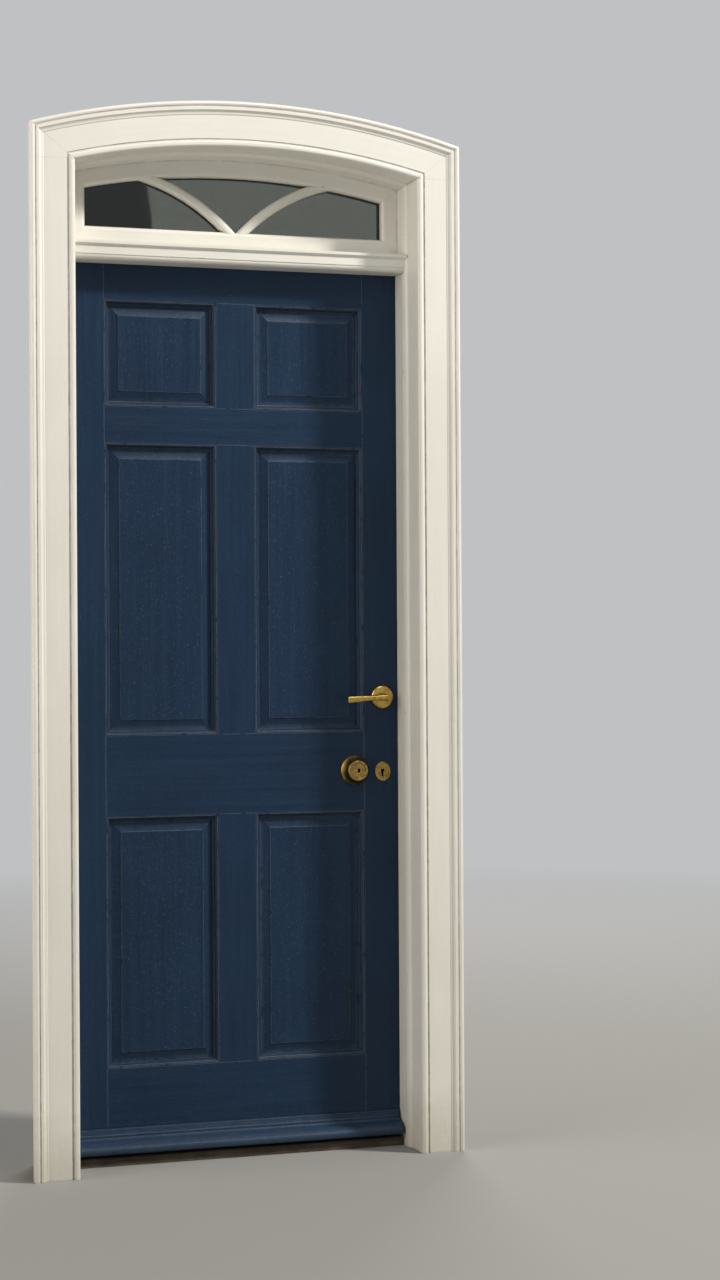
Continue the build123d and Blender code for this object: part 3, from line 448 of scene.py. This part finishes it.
stick_width, stick_depth = 12, 39
ovolo = ((0, 15), (0, 2.6), (1.2, 2.6), (1.2, 0.8), (3.0, 0.8), (3.0, 2.3), (4.6, 2.6),
         (6.3, 3.6), (7.7, 5.1), (8.6, 6.9), (9.0, 9.0), (9.0, 10.4), (12, 11.4), (12, 15))
bead = ((0, 27), (12, 27), (12, 30), (10.6, 34.2), (8.2, 36.9), (5.0, 37.9), (1.4, 37.9),
        (1.4, 38.9), (0, 38.9))


def tree_of(name, sizes):
    """An empty Geometry Nodes tree with its sizes as named inputs."""
    tree = bpy.data.node_groups.new(name, "GeometryNodeTree")
    tree.interface.new_socket("Geometry", in_out="INPUT", socket_type="NodeSocketGeometry")
    tree.interface.new_socket("Geometry", in_out="OUTPUT", socket_type="NodeSocketGeometry")
    for label, value in sizes.items():
        kind = "Int" if isinstance(value, int) else "Float"
        tree.interface.new_socket(label, in_out="INPUT",
                                  socket_type="NodeSocket" + kind).default_value = value
    return tree, tree.nodes.new("NodeGroupInput").outputs


def grown(tree, name, last, material, seeds, sizes):
    """Ends the tree, runs it on a seed mesh with the sizes given, and returns a plain mesh."""
    real = put(tree, "GeometryNodeRealizeInstances", Geometry=last).outputs[0]
    painted = put(tree, "GeometryNodeSetMaterial", Geometry=real, Material=material).outputs[0]
    put(tree, "NodeGroupOutput", Geometry=painted)
    holder = bpy.data.objects.new(name, seeds)
    bpy.context.scene.collection.objects.link(holder)
    growth = holder.modifiers.new(name, "NODES")
    growth.node_group = tree
    for item in tree.interface.items_tree:
        if item.in_out == "INPUT" and item.name in sizes:
            growth[item.identifier] = sizes[item.name]
    bpy.context.view_layer.update()
    mesh = bpy.data.meshes.new_from_object(
        holder.evaluated_get(bpy.context.evaluated_depsgraph_get()))
    holder.modifiers.clear()
    bpy.data.objects.remove(holder)
    return mesh


def panel_openings():
    """Left, right, foot and head of the six openings between the stiles, rails and muntins."""
    low, high = 0, 1
    across = ((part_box("hinge_stile")[high][0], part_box("low_muntin")[low][0]),
              (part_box("low_muntin")[high][0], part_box("lock_stile")[low][0]))
    rails = ("bottom_rail", "lock_rail", "frieze_rail", "top_rail")
    for under, over in zip(rails, rails[1:]):
        for left, right in across:
            yield left, right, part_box(under)[high][2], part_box(over)[low][2]


def mitred_sticks(name, section):
    """Sweeps a section in millimetres round every opening, with a true mitre at each corner."""
    sizes = {"Width": stick_width / 1000, "Depth": stick_depth / 1000}
    tree, given = tree_of(name, sizes)
    is_section = put(tree, "GeometryNodeInputNamedAttribute", {"data_type": "BOOLEAN"},
                     Name="section").outputs[0]
    parts = put(tree, "GeometryNodeSeparateGeometry", Geometry=given[0],
                Selection=is_section).outputs
    size = put(tree, "ShaderNodeCombineXYZ", X=sums(tree, "MULTIPLY", given["Width"], 2 ** 0.5),
               Y=given["Depth"], Z=1.0).outputs[0]
    outline = put(tree, "GeometryNodeTransform", Geometry=parts["Selection"],
                  Scale=size).outputs[0]
    outline = put(tree, "GeometryNodeMeshToCurve", Mesh=outline).outputs[0]
    path = put(tree, "GeometryNodeMeshToCurve", Mesh=parts["Inverted"]).outputs[0]
    path = put(tree, "GeometryNodeSetCurveNormal", {"mode": "Z_UP"}, Curve=path).outputs[0]
    swept = put(tree, "GeometryNodeCurveToMesh", Curve=path, Profile_Curve=outline).outputs[0]
    stood = put(tree, "GeometryNodeTransform", Geometry=swept,
                Rotation=(math.radians(90), 0, 0)).outputs[0]
    seeds = bmesh.new()
    mark = seeds.edges.layers.bool.new("section")
    for left, right, foot, head in panel_openings():
        ring = [seeds.verts.new((x, z, 0)) for x, z in ((left, foot), (right, foot),
                                                        (right, head), (left, head))]
        for a, b in zip(ring, ring[1:] + ring[:1]):
            seeds.edges.new((a, b))
    ring = [seeds.verts.new((-u / stick_width, y / stick_depth, 0)) for u, y in section]
    for a, b in zip(ring, ring[1:] + ring[:1]):
        seeds.edges.new((a, b))[mark] = True
    mesh = bpy.data.meshes.new(name)
    seeds.to_mesh(mesh)
    seeds.free()
    mesh = grown(tree, name, stood, navy["upright"], mesh, sizes)
    outward = bmesh.new()
    outward.from_mesh(mesh)
    bmesh.ops.recalc_face_normals(outward, faces=outward.faces)
    outward.to_mesh(mesh)
    outward.free()
    return mesh


finished("outer_mouldings", navy["upright"], 0.0002,
         shape=mitred_sticks("outer_sticks", ovolo))
finished("inner_mouldings", navy["upright"], 0.0002,
         shape=mitred_sticks("inner_sticks", bead))

# Weatherboard
# A moulded oak drip board screwed across the foot of the leaf and painted with it; its nose
# has lost paint where it brushes and weathers.
finished("weatherboard", navy["level"], 0.0008)


# Hinges
# Three brass butts with loose pins, their plates let in flush. The brass has lost its lacquer:
# it is rubbed bright on the edges, brown in the hollows, and finely scratched.
def aged_brass(name, rubbed, dull):
    made, tree, shader, place = surface(name, Metallic=1.0, IOR=1.5)
    cloud = speckle(tree, place, 95.0, 5.0, 0.65)
    spots = speckle(tree, place, 420.0, 3.0, 0.6)
    hollow = use(tree, hollow_shade_and_dirt, Place=place, Reach=0.006, Foot=0.1)
    edge = use(tree, worn_edge_and_highlight, Place=place, Width=0.0014, Patches=120.0, Start=0.40)
    colour = tint(tree, spread(tree, cloud, 0.35, 0.68), rubbed, dull)
    colour = tint(tree, spread(tree, spots, 0.62, 0.74, 0.0, 0.6), colour, srgb(92, 72, 40))
    colour = tint(tree, sums(tree, "MULTIPLY", hollow["Shade_And_Dirt"], 0.8), colour, srgb(70, 56, 34))
    colour = tint(tree, sums(tree, "MULTIPLY", edge["Worn"], 0.7), colour, srgb(226, 196, 120))
    tree.links.new(colour, shader.inputs["Base Color"])
    tree.links.new(spread(tree, cloud, 0.25, 0.75, 0.16, 0.30), shader.inputs["Roughness"])
    bump(tree, shader, sums(tree, "ADD", spots, cloud), 0.00006)
    return made


brass = aged_brass("aged_brass", srgb(212, 178, 92), srgb(164, 132, 66))
hinge_heights = (0.303, 1.056, 1.809)
pin_x, pin_y, knuckle_radius = -0.3955, 0.0505, 0.006
knuckle_ends = ((-0.03, 1), (-0.01, -1), (0.01, 1), (0.03, -1))
filed_off = 0.00012


def free_knuckles(point):
    """Files the ends of the leaf's knuckles, so that they turn clear of the frame's."""
    if math.hypot(point.x - pin_x, point.y - pin_y) < knuckle_radius:
        for height in hinge_heights:
            for end, inward in knuckle_ends:
                if abs(point.z - height - end) < 1e-5:
                    point.z += filed_off * inward


finished("frame_hinge_leaves", brass, 0.0003)
finished("door_hinge_leaves", brass, 0.0003, trim=free_knuckles)
finished("hinge_pins", brass, 0.0003)


# Latch and deadlock
# Folded steel cases and a square spindle inside the stile, with brass bolts that slide through
# their forends into brass strike plates let into the jamb.
def dull_steel():
    made, tree, shader, place = surface("dull_steel", Metallic=1.0, IOR=2.5)
    cloud = speckle(tree, place, 60.0, 5.0, 0.6)
    fine = speckle(tree, put(tree, "ShaderNodeMapping", Vector=place,
                             Scale=(1, 1, 0.05)).outputs[0], 1800.0, 2.0)
    colour = tint(tree, spread(tree, cloud, 0.35, 0.7), srgb(168, 166, 160), srgb(132, 128, 120))
    tree.links.new(colour, shader.inputs["Base Color"])
    tree.links.new(sums(tree, "ADD", spread(tree, cloud, 0.2, 0.8, 0.28, 0.45),
                        sums(tree, "MULTIPLY", fine, 0.12)), shader.inputs["Roughness"])
    bump(tree, shader, fine, 0.00012)
    return made


steel = dull_steel()
for node in ("latch_case", "deadlock_case", "latch_draw", "spindle"):
    finished(node, steel, 0.0004)
for node in ("latch_bolt", "deadbolt", "latch_strike", "deadlock_strike"):
    finished(node, brass, 0.0004)


# Rim lock
# A cast iron case on the inner face with its box keep on the jamb, stove-enamelled black, with
# a brass bolt and turn knob.
def black_enamel():
    made, tree, shader, place = surface("black_enamel", IOR=1.5, Coat_Weight=0.4,
                                        Coat_Roughness=0.15)
    peel = speckle(tree, place, 350.0, 2.0)
    cloud = speckle(tree, place, 30.0, 4.0)
    edge = use(tree, worn_edge_and_highlight, Place=place, Width=0.0015, Patches=80.0, Start=0.48)
    colour = tint(tree, spread(tree, cloud, 0.3, 0.7), srgb(34, 34, 35), srgb(47, 46, 46))
    colour = tint(tree, edge["Worn"], colour, srgb(140, 132, 118))
    tree.links.new(colour, shader.inputs["Base Color"])
    tree.links.new(spread(tree, cloud, 0.2, 0.8, 0.3, 0.42), shader.inputs["Roughness"])
    bump(tree, shader, peel, 0.0003)
    return made


enamel = black_enamel()
for node in ("rim_case", "rim_keep"):
    finished(node, enamel, 0.0008)

# Screws
# Slotted brass countersunk screws in the hinge plates, forends, strikes and the rim lock, each
# driven by hand, so that no two slots stand alike.
def slotted_screws(name, body, places):
    """Screws at (x, y, z, way the head faces) in millimetres, carried by one body."""
    sizes = {"Head Radius": 0.0037, "Head Proud": 0.0005, "Slot Width": 0.0009, "Seed": 11}
    tree, given = tree_of(name, sizes)
    sunk = 0.0012
    head = put(tree, "GeometryNodeMeshCylinder", Vertices=28, Radius=given["Head Radius"],
               Depth=sums(tree, "ADD", given["Head Proud"], sunk)).outputs["Mesh"]
    middle = sums(tree, "MULTIPLY", sums(tree, "SUBTRACT", given["Head Proud"], sunk), 0.5)
    head = put(tree, "GeometryNodeTransform", Geometry=head, Translation=put(
        tree, "ShaderNodeCombineXYZ", Z=middle).outputs[0]).outputs[0]
    slot = put(tree, "GeometryNodeMeshCube", Size=put(
        tree, "ShaderNodeCombineXYZ", X=sums(tree, "MULTIPLY", given["Head Radius"], 2.4),
        Y=given["Slot Width"], Z=0.0016).outputs[0]).outputs["Mesh"]
    slot = put(tree, "GeometryNodeTransform", Geometry=slot, Translation=put(
        tree, "ShaderNodeCombineXYZ", Z=given["Head Proud"]).outputs[0]).outputs[0]
    head = put(tree, "GeometryNodeMeshBoolean", {"operation": "DIFFERENCE"}, Mesh_1=head,
               Mesh_2=slot).outputs["Mesh"]
    facing = put(tree, "GeometryNodeInputNamedAttribute", {"data_type": "FLOAT_VECTOR"},
                 Name="facing").outputs[0]
    way = put(tree, "FunctionNodeAlignRotationToVector", {"axis": "Z"}, Vector=facing).outputs[0]
    chance = put(tree, "FunctionNodeRandomValue", Seed=given["Seed"]).outputs[1]
    turn = put(tree, "FunctionNodeAxisAngleToRotation", Axis=(0, 0, 1),
               Angle=sums(tree, "MULTIPLY", chance, math.pi)).outputs[0]
    way = put(tree, "FunctionNodeRotateRotation", {"rotation_space": "LOCAL"}, Rotation=way,
              Rotate_By=turn).outputs[0]
    driven = put(tree, "GeometryNodeInstanceOnPoints", Points=given[0], Instance=head,
                 Rotation=way).outputs[0]
    seeds = bpy.data.meshes.new(name)
    seeds.from_pydata([(x / 1000, y / 1000, z / 1000) for x, y, z, _ in places], [], [])
    ways = seeds.attributes.new("facing", "FLOAT_VECTOR", "POINT")
    ways.data.foreach_set("vector", [value for place in places for value in place[3]])
    mesh = grown(tree, name, driven, brass, seeds, sizes)
    mesh.shade_smooth()
    mesh.set_sharp_from_angle(angle=math.radians(30))
    piece = bpy.data.objects.new(name, mesh)
    bpy.context.scene.collection.objects.link(piece)
    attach(piece, body)


hinge_holes = [(y, height * 1000 + rise) for height in hinge_heights
               for y, rise in ((24, -38), (35, -15), (24, 15), (35, 38))]
jamb_face, leaf_edge, rim_face = 397, 394, 72
plate_middle = 22
right, left, inward = (1, 0, 0), (-1, 0, 0), (0, 1, 0)
slotted_screws("frame_screws", "frame", (
    [(-jamb_face, y, z, right) for y, z in hinge_holes]
    + [(jamb_face, plate_middle, z, left) for z in (832, 908, 1021, 1077)]
    + [(427, rim_face, z, inward) for z in (830, 894)]))
slotted_screws("leaf_screws", "leaf", (
    [(-leaf_edge, y, z, left) for y, z in hinge_holes]
    + [(leaf_edge, plate_middle, z, right) for z in (824, 911, 977, 1086)]
    + [(x, rim_face, z, inward) for x in (254, 383) for z in (826, 898)]))

# Handles, cylinder and escutcheon
# Cast levers on turned roses, the tapered collar round the cylinder, and an oval plate with a
# raised rim pinned over the keyhole, all brass; collar, cylinder and plate have gone browner.
knob_x, knob_z, shaft_radius = 0.279, 0.862, 0.009
turned_off = 0.03
cam_back, thin_cam_back = 0.068, 0.0665


def free_shaft(point):
    """Turns the knob's shaft down a little and thins its cam, so that both clear the case."""
    if abs(math.hypot(point.x - knob_x, point.z - knob_z) - shaft_radius) < 0.0001:
        point.x += (knob_x - point.x) * turned_off
        point.z += (knob_z - point.z) * turned_off
    if abs(point.y - cam_back) < 1e-5:
        point.y = thin_cam_back


finished("rim_knob", brass, 0.0005, trim=free_shaft)
for node in ("rim_bolt", "outer_rose", "inner_rose", "outer_lever", "inner_lever"):
    finished(node, brass, 0.0005)
brown_brass = aged_brass("brown_brass", srgb(184, 152, 84), srgb(128, 104, 60))
for node in ("rim_cylinder", "cylinder_plug", "cylinder_collar", "escutcheon"):
    finished(node, brown_brass, 0.0005)


# Studio
# The camera stands left of the door, level, at chest height, where the photograph was taken from.
# A warm softbox high on the right models the front, others above and on the left fill the
# shadows, one behind lights the inner face, and the pale room adds a little.
def aim(place, target):
    return (Vector(target) - Vector(place)).to_track_quat("-Z", "Y").to_matrix().to_4x4()


yaw, pitch, roll = (math.radians(a) for a in (18.3246, 0.0806, -0.3255))
forward = Vector((math.sin(yaw) * math.cos(pitch), math.cos(yaw) * math.cos(pitch),
                  math.sin(pitch)))
level = Vector((math.cos(yaw), -math.sin(yaw), 0))
upright = level.cross(forward)
across = math.cos(roll) * level + math.sin(roll) * upright
up = -math.sin(roll) * level + math.cos(roll) * upright
lens = bpy.data.cameras.new("photo_camera")
lens.sensor_width = 36.0
focal_pixels, photo_height = 2424, 1280
lens.lens = focal_pixels / photo_height * lens.sensor_width
camera = bpy.data.objects.new("photo_camera", lens)
camera.matrix_world = (Matrix.Translation((-1.4575, -5.2879, 1.1527))
                       @ Matrix((across, up, -forward)).transposed().to_4x4())
bpy.context.scene.collection.objects.link(camera)
bpy.context.scene.camera = camera


def softbox(name, place, target, size, power, colour):
    lamp = bpy.data.lights.new(name, "AREA")
    lamp.size = size
    lamp.energy = power
    lamp.color = colour
    holder = bpy.data.objects.new(name, lamp)
    holder.matrix_world = Matrix.Translation(place) @ aim(place, target)
    bpy.context.scene.collection.objects.link(holder)


softbox("key_softbox", (6.49, -4.12, 6.94), (-0.1, 0, 1.3), 0.9, 1020.0, (1.0, 0.965, 0.9))
softbox("top_softbox", (0.9, -3.2, 5.6), (0, 0, 1.1), 2.2, 55.0, (0.92, 0.96, 1.0))
softbox("left_softbox", (-5.6, -1.4, 2.7), (0.3, 0, 1.1), 5.0, 260.0, (1.0, 0.95, 0.88))
softbox("back_softbox", (2.6, 5.5, 3.6), (0, 0, 1.1), 3.0, 220.0, (1.0, 0.98, 0.95))

background = srgb(192, 193, 194)
room_light = 0.06
world = bpy.data.worlds.new("pale_room")
world.use_nodes = True
bpy.context.scene.world = world
sky = world.node_tree
rays = put(sky, "ShaderNodeLightPath").outputs
seen = sums(sky, "MAXIMUM", rays["Is Camera Ray"], rays["Is Transmission Ray"])
seen = sums(sky, "MAXIMUM", seen, rays["Is Glossy Ray"])
shown = put(sky, "ShaderNodeBackground", Color=background, Strength=1.0)
fill = put(sky, "ShaderNodeBackground", Color=(0.95, 0.97, 1.0, 1.0), Strength=room_light)
mixed = put(sky, "ShaderNodeMixShader", i0=seen, i1=fill.outputs[0], i2=shown.outputs[0])
sky.links.new(mixed.outputs[0], sky.nodes["World Output"].inputs["Surface"])


def pale_floor():
    """A pale matt floor that fades into the background's colour further out."""
    made, tree, shader, place = surface("pale_floor", Roughness=0.9)
    shader.inputs["Base Color"].default_value = srgb(142, 141, 138)
    away = put(tree, "ShaderNodeVectorMath", {"operation": "LENGTH"}, i0=place).outputs["Value"]
    plain = put(tree, "ShaderNodeEmission", Color=background, Strength=1.0)
    mix = put(tree, "ShaderNodeMixShader", i0=spread(tree, away, 2.0, 7.0),
              i1=shader.outputs[0], i2=plain.outputs[0])
    tree.links.new(mix.outputs[0], tree.nodes["Material Output"].inputs["Surface"])
    return made


ground = bmesh.new()
bmesh.ops.create_circle(ground, cap_ends=True, segments=96, radius=60.0)
ground_mesh = bpy.data.meshes.new("floor")
ground.to_mesh(ground_mesh)
ground.free()
ground_mesh.materials.append(pale_floor())
floor = bpy.data.objects.new("floor", ground_mesh)
bpy.context.scene.collection.objects.link(floor)

bpy.context.scene.view_settings.view_transform = "Standard"
